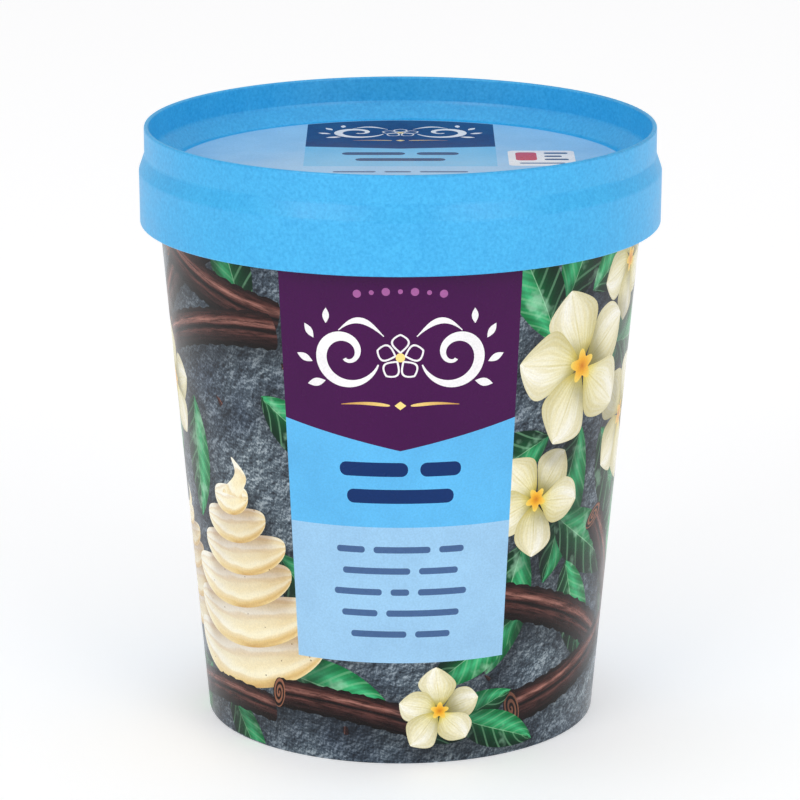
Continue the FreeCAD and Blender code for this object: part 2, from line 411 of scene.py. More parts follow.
def around(angle):
    """An angle from the front, in degrees, as a distance along the flat print."""
    return math.radians(angle) * UNROLL_RADIUS


def eased(count):
    """Shares from 0 to 1, closer together towards both ends."""
    return (1 - np.cos(np.linspace(0, np.pi, count))) / 2


def leaf_ring(x, middle, half):
    """The outline of a shape with two sharp ends, from its half widths along x."""
    return np.vstack([pairs(x, middle - half), pairs(x, middle + half)[-2:0:-1]])


def heading(angle):
    return np.array([math.cos(angle), math.sin(angle)])


def polar(reach, angles):
    """Points at a reach, or at a reach each, from the middle."""
    return pairs(reach * np.cos(angles), reach * np.sin(angles))


def turned(points, degrees):
    c, s = math.cos(math.radians(degrees)), math.sin(math.radians(degrees))
    return pairs(c * points[:, 0] - s * points[:, 1], s * points[:, 0] + c * points[:, 1])


def one_tone(points):
    """A pattern that shows the middle of its paint everywhere."""
    return np.full((len(points), 2), 0.5)


class Field:
    """One printed shape: its outline, its paint, and where a point lies on the shape's own pattern."""

    def __init__(self, outline, paint, pattern=None, shaded=True):
        self.outline = np.asarray(outline, float)
        self.paint = paint
        self.pattern = pattern or (lambda points: np.zeros((len(points), 2)))
        self.shaded = shaded


class Layout:
    """The fields of one print from the bottom up, and the rods and rounds that cast printed shadows."""

    def __init__(self, stretch):
        self.fields = []
        self.casters = []
        self.stretch = stretch  # how much wider a shape is drawn at a height than it comes out

    def spot(self, along, up, turn=0.0):
        """Functions between a shape's own millimetres and the flat print, for a shape that is turned."""
        c, s = math.cos(math.radians(turn)), math.sin(math.radians(turn))
        wide = self.stretch(up)

        def out(points):
            p = np.asarray(points, float)
            return pairs(along + (c * p[:, 0] - s * p[:, 1]) * wide, up + s * p[:, 0] + c * p[:, 1])

        def back(points):
            x, y = (points[:, 0] - along) / wide, points[:, 1] - up
            return pairs(c * x + s * y, c * y - s * x)

        return out, back

    def draw(self, outline, paint, pattern=None):
        self.fields.append(Field(outline, paint, pattern))

    def plain(self, outline, paint, pattern=None):
        """A shape on which no printed shadow falls."""
        self.fields.append(Field(outline, paint, pattern, False))

    def cast(self, start, end, radius, strength=0.75):
        self.casters.append((len(self.fields), np.array(start), np.array(end), radius, strength))

    # ---- pictures
    def blade(self, along, up, turn, length, width, paint, bend=0.0, fullness=1.36, start=0.0, wave=0.0):
        """A petal or leaf that points along its own x axis, from a share `start` of its length."""
        out, back = self.spot(along, up, turn)

        def half_width(t):
            t = np.clip(t, 0.0, 1.0)
            return width / 2 * np.sin(np.pi * t**fullness) ** 0.8 * (1 + wave * np.sin(11 * t + turn))

        def middle(t):
            return bend * length * np.sin(np.pi * np.clip(t, 0, 1) / 2) ** 2

        def pattern(points):
            own = back(points)
            t = (own[:, 0] / length - start) / (1 - start)
            across = (own[:, 1] - middle(t)) / np.maximum(half_width(t), 0.02 * width)
            return pairs(t, across)

        t = eased(30)
        x = length * (start + (1 - start) * t)
        self.draw(out(leaf_ring(x, middle(t), half_width(t))), paint, pattern)
        self.cast(*out([[x[6], middle(0.3)], [x[-8], middle(0.8)]]), width * 0.36)

    def blossom(self, angle, up, size, turn=0.0):
        """Five broad petals round a golden throat."""
        along = around(angle)
        for i in range(5):
            lean = 5 * math.sin(2.1 * i + angle)
            reach = size * (1 + 0.07 * math.sin(3.3 * i + angle))
            self.blade(along, up, turn + 72 * i + lean, reach, 0.82 * size, "petal", 0.1, 1.3, 0.04, 0.05)
        self.star(self.spot(along, up, turn), 0.17 * size, 0.2 * size, 40)

    def star(self, spot, size, pattern_size, count):
        """A blossom's throat: a round with five soft points."""
        out, back = spot
        angles = whole_turn(count)
        reach = size * (1 + 0.28 * np.cos(5 * angles))
        self.draw(out(polar(reach, angles)), "throat", lambda points: back(points) / pattern_size)

    def leaf(self, angle, up, turn, length, width=0.42, bend=0.08):
        along = around(angle)
        self.blade(along, up, turn, length, width * length, "leaf", bend, 0.9)

    def leaves(self, *places):
        for place in places:
            self.leaf(*place)

    def quill(self, angle, up, turn, length, thick=4.6, bend=0.05):
        """A roll of bark with its end showing."""
        along = around(angle)
        out, back = self.spot(along, up, turn)
        half = thick / 2

        def middle(x):
            return bend * length * (1 - (2 * x / length) ** 2)

        def pattern(points):
            own = back(points)
            across = (own[:, 1] - middle(own[:, 0])) / half
            return pairs(own[:, 0] / thick + angle, across)

        x = np.linspace(-length / 2, length / 2, 44)
        rough = 1 + 0.05 * np.sin(1.9 * x + angle) + 0.03 * np.sin(4.3 * x)
        upper = pairs(x, middle(x) + half * rough)
        lower = pairs(x, middle(x) - half * rough)
        a = np.linspace(-np.pi / 2, np.pi / 2, 14)[1:-1]
        cap = pairs(length / 2 + 0.35 * half * np.cos(a), half * np.sin(a))
        self.draw(out(np.vstack([lower, cap, upper[::-1]])), "bark", pattern)
        ends = out([[-length / 2, 0], [length / 2, 0]])
        self.cast(*ends, half * 0.95)
        end_out, end_back = self.spot(*ends[0], turn)
        a = whole_turn(32)
        reach = (0.46 * half, 1.03 * half)
        oval = pairs(reach[0] * np.cos(a), reach[1] * np.sin(a))
        self.draw(end_out(oval), "bark_end", lambda points: end_back(points) / reach)

    def turn_of_cream(self, spot, middle, half, thick):
        """One sagging, slanted roll of a swirl, round its middle point."""
        out, back = spot

        def sag(x):
            return 0.13 * x - 0.19 * half * (1 - (x / half) ** 2)

        def pattern(points):
            own = back(points) - middle
            return pairs(own[:, 0] / half, (own[:, 1] - sag(own[:, 0])) / (thick / 2))

        a = whole_turn(96)
        x = half * np.sign(np.cos(a)) * abs(np.cos(a)) ** 0.8
        y = sag(x) + thick / 2 * np.sign(np.sin(a)) * abs(np.sin(a)) ** 0.85
        self.draw(out(pairs(x, y) + middle), "cream", pattern)
        ends = out(np.array([(x, sag(x)) for x in (-0.7 * half, 0.7 * half)]) + middle)
        self.cast(*ends, thick * 0.42, 0.85)

    def swirl(self, angle, up, tall, turns=6):
        """Ice cream piped in a tapering swirl, from its foot up to a curled tip."""
        out, back = spot = self.spot(around(angle), up)
        height = 0.0
        for turn in range(turns):
            share = turn / turns
            thick = 0.225 * tall * (1 - 0.58 * share)
            middle = (0.02 * tall * math.sin(2.4 * turn), height + thick / 2)
            self.turn_of_cream(spot, middle, 0.37 * tall * (1 - share) ** 0.78, thick)
            height += thick * 0.68
        t = np.linspace(0, 1, 24)
        half = tall * (0.003 + 0.05 * (1 - t) ** 0.8)
        x = 0.05 * tall * np.sin(2.6 * t) ** 2
        y = height + tall * (0.15 * t - 0.02)
        right, left = pairs(x + half, y), pairs(x - half, y)
        foot, reach = (0.02 * tall, height + 0.06 * tall), (0.06 * tall, 0.12 * tall)
        tip = out(np.vstack([right, left[::-1]]))
        self.draw(tip, "cream", lambda points: (back(points) - foot) / reach)

    def crumb(self, angle, up, size, turn):
        """A chip of bark with six corners."""
        out, back = self.spot(around(angle), up, turn)
        a = whole_turn(6)
        reach = size * (1 + 0.35 * np.sin(2.7 * a + turn))
        chip = pairs(1.5 * reach * np.cos(a), 0.8 * reach * np.sin(a))
        self.draw(out(chip), "bark", lambda points: back(points) / size)
        middle = out([[0.0, 0.0]])[0]
        self.cast(middle, middle + (0.01, 0.0), size * 0.8)

    # ---- plain graphics
    def box(self, left, right, low, high, paint, corner=0.0):
        """A plain rectangle in the flat print, with rounded corners if asked."""
        corners = [(right, high), (left, high), (left, low), (right, low)]
        if not corner:
            self.plain(corners, paint)
            return
        points = []
        for i, (x, y) in enumerate(corners):
            cx = x - corner if x == right else x + corner
            cy = y - corner if y == high else y + corner
            a = np.linspace(0, np.pi / 2, 6) + i * np.pi / 2
            points += [(cx, cy) + corner * heading(t) for t in a]
        self.plain(points, paint)

    def words(self, middle, up, lengths, tall, gap, paint):
        """A row of plain bars where a row of words would be."""
        wide = self.stretch(up)
        x = middle - (sum(lengths) + gap * (len(lengths) - 1)) * wide / 2
        for length in lengths:
            self.box(x, x + length * wide, up - tall / 2, up + tall / 2, paint, tall * 0.46)
            x += (length + gap) * wide

    def stroke(self, line, widths, paint, spot, pattern=None):
        """A brush stroke along a line, in the spot's own millimetres."""
        ahead = np.gradient(line, axis=0)
        side = pairs(-ahead[:, 1], ahead[:, 0]) / np.linalg.norm(ahead, axis=1)[:, None]
        half = widths[:, None] / 2
        ring = np.vstack([line - side * half, (line + side * half)[::-1]])
        self.plain(spot[0](ring), paint, pattern)

    def outlined_blade(self, spot, turn, length, width, line, start, paint, inside):
        """A petal drawn as an outline: one shape, and a smaller one in the ground's paint."""
        for trim, ink in ((0.0, paint), (line, inside)):
            t = eased(22)
            low, high = start + trim * 1.3, length - trim
            x = low + (high - low) * t
            y = (width / 2 - trim) * np.sin(np.pi * t**1.25) ** 0.8
            self.plain(spot[0](turned(leaf_ring(x, 0, y), turn)), ink)

    def ornament(self, along, up, scale, ink, ground, rule):
        """A line-drawn blossom between two scrolls with leaves, over a thin tapered rule."""
        spot = self.spot(along, up)
        small_leaves = (
            (-14, 16.0, -5.6, 4.2),
            (24, 18.8, -1.6, 3.8),
            (58, 18.4, 3.6, 3.6),
            (92, 15.6, 7.0, 3.4),
        )
        for side in (-1, 1):
            turns = np.linspace(math.radians(196), math.radians(640), 74)
            share = np.linspace(0, 1, len(turns))
            reach = (6.4 * (1 - share) ** 0.9 + 0.9) * scale
            line = reach[:, None] * pairs(side * np.cos(turns), np.sin(turns))
            line += (side * 11.6 * scale, 0.4 * scale)
            widths = scale * (0.3 + 2.0 * np.sin(np.pi * share**0.7) ** 1.4 + 0.5 * share**6)
            self.stroke(line[::side], widths[::side], ink, spot)
            for lean, x, y, size in small_leaves:
                lean = lean if side > 0 else 180 - lean
                self.lens(spot, side * x * scale, y * scale, lean, size * scale, ink)
            tail = np.linspace(0, 1, 26)
            rise = 4.6 + 3.4 * np.sin(np.pi * tail * 0.9)
            swash = scale * pairs(side * (3.4 + 9.5 * tail), rise)
            thin = scale * (0.2 + 1.15 * np.sin(np.pi * tail) ** 1.5)
            self.stroke(swash[::side], thin[::side], ink, spot)
        length, width, outline, start = 5.2 * scale, 3.9 * scale, 0.42 * scale, 0.8 * scale
        for i in range(5):
            self.outlined_blade(spot, 90 + 72 * i, length, width, outline, start, ink, ground)
        self.dot(spot, 0, 0, 1.0 * scale, rule)
        t = np.linspace(0, 1, 40)

        # places along the whole rule, from end to end, for the gold's painted sheen
        def sheen(points):
            return spot[1](points) / (25 * scale, 1) + (0.5, 0)

        for side in (-1, 1):
            line = scale * pairs(side * (2.2 + 10.5 * t), -10.6 + 0.4 * np.sin(np.pi * t))
            widths = scale * (0.14 + 0.6 * np.sin(np.pi * t**0.55))
            self.stroke(line[::side], widths[::side], rule, spot, sheen)
        diamond = scale * np.array([(1.25, 0), (0, 0.95), (-1.25, 0), (0, -0.95)])
        self.plain(spot[0](diamond + (0, -10.6 * scale)), rule, one_tone)

    def lens(self, spot, x, y, turn, length, paint, width=0.42):
        """A small plain leaf with two sharp ends."""
        t = np.linspace(0, 1, 15)
        half = width / 2 * length * np.sin(np.pi * t)
        ring = turned(leaf_ring(length * t, 0, half), turn) + (x, y)
        self.plain(spot[0](ring), paint)

    def dot(self, spot, x, y, radius, paint):
        ring = polar(radius, whole_turn(18)) + (x, y)
        self.plain(spot[0](ring), paint, one_tone)

    # ---- printed shadows
    def shade(self, points, order):
        """How dark each point lies under the pictures printed above that order, from 0 to 1."""
        clear = np.ones(len(points))
        away = np.array(LIGHT_FROM)
        for level, start, end, radius, strength in self.casters:
            if level <= order:
                continue
            for drop, soft, weight in SHADOWS:
                p = points + away * drop - start
                rod = end - start
                t = np.clip(p @ rod / (rod @ rod), 0, 1)
                gap = np.linalg.norm(p - t[:, None] * rod, axis=1) - radius
                clear *= 1 - strength * weight * (1 - smooth_step(gap, -soft * 0.4, soft))
        return 1 - clear


# ---- the tub's print
PANEL_HALF = around(29.0)
PANEL_LOW, PALE_TOP = 20.3, 47.0
V_TIP, V_END = 61.8, 66.9  # the point at the purple field's foot
PANEL_TOP = 101.0
INFO_MIDDLE = around(116)
INFO_HALF = around(27)


def front_panel(layout):
    """Three plain fields, an ornament, and bars for the words."""
    half = PANEL_HALF
    point = [(-half, V_END), (0, V_TIP), (half, V_END)]
    layout.box(-half, half, PANEL_LOW, PALE_TOP, "pale")
    layout.plain([(-half, PALE_TOP), (half, PALE_TOP)] + point[::-1], "blue")
    layout.plain(point + [(half, PANEL_TOP), (-half, PANEL_TOP)], "purple")
    layout.ornament(0.0, 79.6, 0.86, "white", "purple", "gold")
    spot = layout.spot(0.0, 92.0)
    for i in range(-3, 4):
        layout.dot(spot, 2.6 * i, -0.06 * i * i, 0.75 if i % 2 else 0.45, "pink")
    layout.words(0.0, 58.2, (12.5, 7.5), 2.7, 2.2, "navy")
    layout.words(0.0, 53.0, (19.5,), 2.7, 2.2, "navy")
    rows = ((5.2, 10.4, 4.6), (12.4, 7.2), (8.8, 3.4, 9.0), (6.6, 13.4), (10.2, 6.4))
    for i, lengths in enumerate(rows):
        layout.words(0.0, 42.6 - 4.15 * i, lengths, 1.25, 1.6, "small_navy")


def info_panels(layout):
    """Two pale panels towards the back: rows of bars, and a plain grid."""
    for side, heading in ((-1, (11.0, 7.0)), (1, (15.0,))):
        middle = side * INFO_MIDDLE
        layout.box(middle - INFO_HALF, middle + INFO_HALF, 14.0, 90.0, "pale", 2.5)
        layout.box(middle - INFO_HALF + 3, middle + INFO_HALF - 3, 80.5, 86.5, "blue", 1.2)
        layout.words(middle, 83.5, heading, 1.9, 1.8, "navy")
    pick = random.Random(7)
    paragraphs(layout, -INFO_MIDDLE, pick)
    grid(layout, INFO_MIDDLE, pick)
    frost_star(layout, INFO_MIDDLE, 24.0)


def paragraphs(layout, middle, pick):
    """Three groups of five rows of bars, with a short last row in each."""
    for i in range(15):
        lengths, room = [], 32.0 - (i % 5 == 4) * 12
        while room > 3.5:
            lengths.append(min(pick.uniform(2.4, 7.5), room))
            room -= lengths[-1] + 1.1
        layout.words(middle, 75.0 - 3.9 * i - 1.6 * (i // 5), lengths, 1.05, 1.1, "small_navy")


def grid(layout, middle, pick):
    """Eight ruled rows of three columns, with a bar in each cell."""
    low, high, half, rows = 34.0, 76.0, 16.0, 8
    line = 0.14
    for i in range(rows + 1):
        up = low + (high - low) * i / rows
        layout.box(middle - half, middle + half, up - line, up + line, "navy")
    for x in (-half, 0.22 * half, 0.62 * half, half):
        layout.box(middle + x - line, middle + x + line, low - line, high + line, "navy")
    columns = ((-0.42, 5, 12), (0.42, 2, 3.6), (0.81, 2, 3.2))
    for i in range(rows):
        up = low + (high - low) * (i + 0.5) / rows
        for place, shortest, longest in columns:
            bar = (pick.uniform(shortest, longest),)
            layout.words(middle + place * half, up, bar, 1.05, 1.0, "small_navy")


def frost_star(layout, middle, up):
    """Six arms with two short branches each."""
    spot = layout.spot(middle, up)
    for i in range(6):
        turn = math.radians(60 * i)
        arm = heading(turn)
        layout.stroke(np.linspace(0.4, 5.6, 8)[:, None] * arm, np.full(8, 0.55), "navy", spot)
        for lean in (-0.8, 0.8):
            line = arm * 3.4 + np.linspace(0.2, 1.9, 5)[:, None] * heading(turn + lean)
            layout.stroke(line, np.full(5, 0.5), "navy", spot)


def tub_layout():
    """Everything on the wall, lowest layer first. A place is degrees from the front, and a height."""
    layout = Layout(lambda up: UNROLL_RADIUS / wall_radius(up))
    pick = random.Random(11)
    for _ in range(70):
        angle, up = pick.uniform(-172, 172), pick.uniform(4, 96)
        layout.crumb(angle, up, pick.uniform(0.35, 0.85), pick.uniform(0, 360))
    # left of the front panel: rolls of bark above, two swirls of ice cream below
    layout.leaves((-40, 84, 100, 24), (-36, 70, -40, 24), (-80, 72, 250, 26), (-64, 66, 262, 24))
    layout.leaves((-34, 40, -55, 24), (-40, 18, -20, 26), (-70, 12, 215, 26))
    layout.leaves((-86, 40, 160, 26), (-58, 10, -65, 20))
    layout.quill(-70, 86, 38, 34, 7.0)
    layout.quill(-52, 90, -16, 34, 7.2, -0.03)
    layout.quill(-55, 79, 12, 36, 7.0)
    layout.blossom(-82, 66, 11.0, 10)
    layout.swirl(-80, 20.0, 36.0, 5)
    layout.swirl(-49, 14.5, 51.0)
    layout.quill(-62, 7, 5, 30, 5.6)
    # right of the front panel: a spray of blossoms and leaves, rolls of bark below
    layout.leaves((42, 86, 62, 30), (52, 88, 30, 30), (40, 80, 110, 26), (64, 70, 55, 30))
    layout.leaves((66, 76, -10, 32), (52, 62, 250, 30), (40, 62, 200, 28), (62, 60, -62, 30))
    layout.leaves((44, 46, -40, 28), (34, 42, 250, 26), (80, 48, -100, 28))
    layout.leaves((34, 28, 210, 22), (84, 34, 15, 24), (50, 36, -75, 24))
    layout.blossom(72, 91, 11.5, 40)
    layout.blossom(77, 60, 13.0, -8)
    layout.blossom(37, 50, 11.0, 50)
    layout.blossom(50, 74, 15.5, 24)
    layout.quill(74, 30, -58, 30, 6.4)
    layout.quill(46, 25, -24, 36, 7.0)
    layout.quill(59, 14, 16, 36, 7.2, -0.03)
    # below the front panel
    layout.quill(-14, 9.5, -9, 30, 6.0)
    layout.leaves((6, 5, 20, 19), (16, 9, -28, 18))
    layout.blossom(11, 10.5, 8.2, 15)
    # the back: one group on each side of the seam
    layout.leaves((164, 86, 250, 24), (150, 84, 300, 22), (158, 66, 20, 24))
    layout.leaves((150, 60, 235, 26), (160, 62, 290, 24))
    layout.blossom(157, 75, 13.5, 20)
    layout.quill(163, 42, -38, 26, 6.4)
    layout.swirl(158, 7.0, 29.0, 5)
    layout.leaves((-150, 92, 200, 24), (-152, 28, 110, 24), (-160, 22, 20, 26))
    layout.leaves((-166, 34, 60, 22), (-156, 12, -30, 24))
    layout.quill(-158, 84, 30, 30, 6.8)
    layout.quill(-156, 72, -14, 28, 6.8, -0.03)
    layout.swirl(-156, 35.0, 28.0, 5)
    layout.blossom(-160, 20, 12.0, -30)
    info_panels(layout)
    front_panel(layout)
    return layout


# ---- cutting a flat print into faces
def anticlockwise(outline):
    x, y = outline[:, 0], outline[:, 1]
    area = x @ np.roll(y, -1) - y @ np.roll(x, -1)
    return outline if area > 0 else outline[::-1]


def divided(outline):
    """The outline with points added, so that a long edge can follow the round wall."""
    points = []
    for here, after in zip(outline, np.roll(outline, -1, axis=0)):
        count = max(1, math.ceil(np.linalg.norm(after - here) / LONGEST_EDGE))
        points += [here + (after - here) * i / count for i in range(count)]
    return np.array(points)


def cut_print(domain, fields, dots, lines=()):
    """Triangles of the domain, cut along every outline, and the topmost field that each shows."""
    points, edges, faces = [], [], []
    for outline in [np.asarray(domain)] + [divided(f.outline) for f in fields]:
        first = len(points)
        points += [Vector(p) for p in anticlockwise(outline)]
        faces.append(list(range(first, len(points))))
    for line in lines:
        first = len(points)
        points += [Vector(p) for p in line]
        edges += [(i, i + 1) for i in range(first, len(points) - 1)]
    points += [Vector(p) for p in dots]
    places, _, found, _, _, face_owners = delaunay_2d_cdt(points, edges, faces, 0, 1e-6)
    triangles, shown = [], []
    for face, owners in zip(found, face_owners):
        if 0 in owners:
            triangles.append(tuple(face))
            shown.append(max(owners) - 1)
    used, renumbered = np.unique(triangles, return_inverse=True)
    flat = np.array([tuple(places[i]) for i in used])
    return flat, renumbered.reshape(-1, 3), np.array(shown)


def printed_faces(layout, ground, flat, triangles, shown):
    """Each triangle with its paint, and its corners' places on the pattern and printed shadow."""
    for order in np.unique(shown):
        field = layout.fields[order] if order >= 0 else Field([], ground)
        mine = triangles[shown == order]
        corners = flat[mine.ravel()]
        patterns = field.pattern(corners).reshape(-1, 3, 2)
        shades = np.zeros((len(mine), 3))
        if field.shaded:
            shades = layout.shade(corners, order + 1).reshape(-1, 3)
        for face, pattern, shade in zip(mine, patterns, shades):
            yield face, field.paint, pattern, shade


def in_order(found, angle):
    """The found points of a ring, sorted round the axis, and their angles."""
    found = sorted(found, key=lambda i: angle[i])
    return found, angle[found]


def put(name, data):
    """A new object in the scene."""
    piece = bpy.data.objects.new(name, data)
    bpy.context.scene.collection.objects.link(piece)
    return piece


class Shell:
    """Gathers faces with a paint, a pattern place and a place on the bake's map for each corner."""

    def __init__(self, name, paints):
        self.name = name
        self.paints = paints
        self.points, self.faces, self.slots = [], [], []
        self.pattern, self.map, self.shade, self.normals = [], [], [], []

    def add(self, face, paint, pattern, place, shade=None, normals=None):
        self.faces.append([int(i) for i in face])
        self.slots.append(list(self.paints).index(paint))
        self.pattern += list(pattern)
        self.map += list(place)
        self.shade += list(shade if shade is not None else [0.0] * len(face))
        self.normals += list(normals if normals is not None else [(0.0, 0.0, 0.0)] * len(face))

    def ring(self, radius, height, angles):
        first = len(self.points)
        self.points += [(radius * math.sin(a), -radius * math.cos(a), height) for a in angles]
        return list(range(first, len(self.points)))

    def band(self, lower, upper, paint, angles, low, high):
        """Quads between two rings, on a strip of the bake's map."""
        count = len(lower)
        for i in range(count):
            j = (i + 1) % count
            u, w = (angles[i] / math.tau) % 1, (angles[j] / math.tau) % 1
            w = 1.0 if w < u else w
            place = [(u, low), (w, low), (w, high), (u, high)]
            self.add((lower[i], lower[j], upper[j], upper[i]), paint, [(0, 0)] * 4, place)

    def lid_over(self, ring, height, paint, corner, radius):
        """Closes a ring with a fan, on a round patch of the bake's map."""
        centre = len(self.points)
        self.points.append((0.0, 0.0, height))
        count = len(ring)
        for i in range(count):
            j = (i + 1) % count
            a, b = math.tau * i / count, math.tau * j / count
            place = [corner + radius * heading(t) for t in (a, b)]
            self.add((ring[i], ring[j], centre), paint, [(0, 0)] * 3, place + [corner])

    def build(self):
        mesh = bpy.data.meshes.new(self.name)
        points = (np.array(self.points) * MM).tolist()
        mesh.from_pydata(points, [], self.faces)
        for material in self.paints.values():
            mesh.materials.append(material)
        mesh.polygons.foreach_set("material_index", self.slots)
        mesh.polygons.foreach_set("use_smooth", [True] * len(self.faces))
        for layer, values in (("OFBake", self.map), ("pattern", self.pattern)):
            mesh.uv_layers.new(name=layer).uv.foreach_set("vector", np.array(values, np.float32).ravel())
        shade = mesh.attributes.new("shade", "FLOAT", "CORNER")
        shade.data.foreach_set("value", np.array(self.shade, np.float32))
        mesh.set_sharp_from_angle(angle=SHARP_ANGLE)
        mesh.normals_split_custom_set(self.normals)
        mesh.update()
        return put(self.name, mesh)


# ---- the tub
# the bake's map: strips for the rings of the foot, the bead and the inside of the mouth
FOOT_STRIPS, STRIP = 0.004, 0.008
BEAD_STRIPS, BEAD_STRIP = 0.0985, 1e-4
INNER_STRIP = (0.097, 0.098)


def seam_lift(angle, height):
    """How far the side seam's outer layer stands above the wall: a step one way, a slope the other."""
    past_back = np.where(angle > 0, angle - math.pi, angle + math.pi)
    step = smooth_step(past_back, -SEAM_HALF_ANGLE, -SEAM_HALF_ANGLE + SEAM_STEP_ANGLE)
    slope = 1 - smooth_step(past_back, math.radians(1.2), SEAM_HALF_ANGLE)
    ends = smooth_step(height, 0.6, 1.4) * (1 - smooth_step(height, 102.6, 103.8))
    return SEAM_STEP * step * slope * ends


def on_wall(flat):
    """The flat print's points, rolled on to the cone."""
    angle = flat[:, 0] / UNROLL_RADIUS
    radius = wall_radius(flat[:, 1]) + seam_lift(angle, flat[:, 1])
    return np.column_stack([radius * np.sin(angle), -radius * np.cos(angle), flat[:, 1]])


def wall_map(flat, middle):
    """Places on the bake's map: the front half of the wall above, the back half below."""
    angle = flat[:, 0] / UNROLL_RADIUS
    front = abs(middle) < HALF_TURN / 2
    across = angle if front else angle - math.copysign(math.pi, middle)
    low = 0.54 if front else 0.1
    rise = (flat[:, 1] - WALL_LOW) / (WALL_HIGH - WALL_LOW)
    return pairs(0.5 + across / math.pi * 0.98, low + 0.42 * rise)


def foot_profile():
    """Radius, height and paint of each ring from the wall's foot, under the hem and up to the base."""
    profile = []
    for turn in np.linspace(0, 90, 5)[1:]:
        t = math.radians(turn)
        radius = wall_radius(FOOT_ROUND) - FOOT_ROUND * (1 - math.cos(t))
        profile.append((radius, FOOT_ROUND * (1 - math.sin(t)), "slate"))
    profile.append((HEM_RADIUS + FOOT_ROUND, 0.0, "board"))
    for turn in np.linspace(0, 90, 4)[1:]:
        t = math.radians(turn)
        radius = HEM_RADIUS + FOOT_ROUND * (1 - math.sin(t))
        profile.append((radius, FOOT_ROUND * (1 - math.cos(t)), "board"))
    return profile + [(RECESS_RADIUS, BASE_RECESS, "board")]


def cut_wall(layout, seam_edge):
    """The flat print as a grid of points cut by the layout, by the map's two halves, and at the seam."""
    columns = np.arange(-180, 180.01, GRID_ANGLE) / 180 * HALF_TURN
    rows = np.linspace(WALL_LOW, WALL_HIGH, round((WALL_HIGH - WALL_LOW) / GRID_RISE))
    border = [(x, WALL_LOW) for x in columns]
    border += [(HALF_TURN, y) for y in rows[1:]]
    border += [(x, WALL_HIGH) for x in columns[-2::-1]]
    border += [(-HALF_TURN, y) for y in rows[-2:0:-1]]
    half_step = GRID_ANGLE / 360 * HALF_TURN
    dots = []
    for x in columns[1:-2]:
        dots += [(x + (half_step if i % 2 else 0), y) for i, y in enumerate(rows[1:-1])]
    cuts = (-HALF_TURN / 2, HALF_TURN / 2, *seam_edge)
    return cut_print(border, layout.fields, dots, [[(x, y) for y in rows] for x in cuts])


def build_tub(paints):
    layout = tub_layout()
    step = HALF_TURN - SEAM_HALF_ANGLE * UNROLL_RADIUS
    step_end = step + SEAM_STEP_ANGLE * UNROLL_RADIUS
    flat, triangles, shown = cut_wall(layout, (step, step_end))

    # The two sides of the flat print meet at the back.
    index = np.arange(len(flat))
    right = np.where(flat[:, 0] > HALF_TURN - TOUCH)[0]
    left = np.where(flat[:, 0] < -HALF_TURN + TOUCH)[0]
    for i in right:
        index[i] = left[np.argmin(abs(flat[left, 1] - flat[i, 1]))]

    shell = Shell("tub_print", paints)
    shell.points = [tuple(p) for p in on_wall(flat)]
    slope = (MOUTH_RADIUS - FOOT_RADIUS) / MOUTH_HEIGHT
    angle = flat[:, 0] / UNROLL_RADIUS
    normals = np.column_stack([np.sin(angle), -np.cos(angle), np.full(len(flat), -slope)])
    normals /= np.linalg.norm(normals, axis=1)[:, None]
    for face, paint, pattern, shade in printed_faces(layout, "slate", flat, triangles, shown):
        middle = flat[face, 0].mean()
        place = wall_map(flat[face], middle)
        if step - TOUCH < middle < step_end:
            shell.add(index[face], "board", pattern, place, shade)
        else:
            shell.add(index[face], paint, pattern, place, shade, normals[face])

    def edge_ring(height):
        return in_order([i for i in np.unique(index) if abs(flat[i, 1] - height) < TOUCH], angle)

    ring, angles = edge_ring(WALL_LOW)
    for i, (radius, height, paint) in enumerate(foot_profile()):
        deeper = shell.ring(radius, height, angles)
        low = FOOT_STRIPS + STRIP * i
        shell.band(deeper, ring, paint, angles, low + STRIP, low)
        ring = deeper
    shell.lid_over(ring[::-1], BASE_RECESS, "board", (0.95, 0.005), 0.003)

    ring, angles = edge_ring(WALL_HIGH)
    start = math.atan2(WALL_HIGH - MOUTH_HEIGHT, wall_radius(WALL_HIGH) - BEAD_CENTRE)
    for i, turn in enumerate(np.linspace(start, math.pi, 22)[1:]):
        radius = BEAD_CENTRE + BEAD_RADIUS * math.cos(turn)
        higher = shell.ring(radius, MOUTH_HEIGHT + BEAD_RADIUS * math.sin(turn), angles)
        low = BEAD_STRIPS + BEAD_STRIP * i
        shell.band(ring, higher, "board", angles, low, low + BEAD_STRIP)
        ring = higher
    inner = shell.ring(MOUTH_RADIUS - BOARD, FILL_LEVEL, angles)
    shell.band(ring, inner, "board", angles, *INNER_STRIP)
    shell.lid_over(inner, FILL_LEVEL, "board", (0.98, 0.005), 0.003)
    return shell.build()


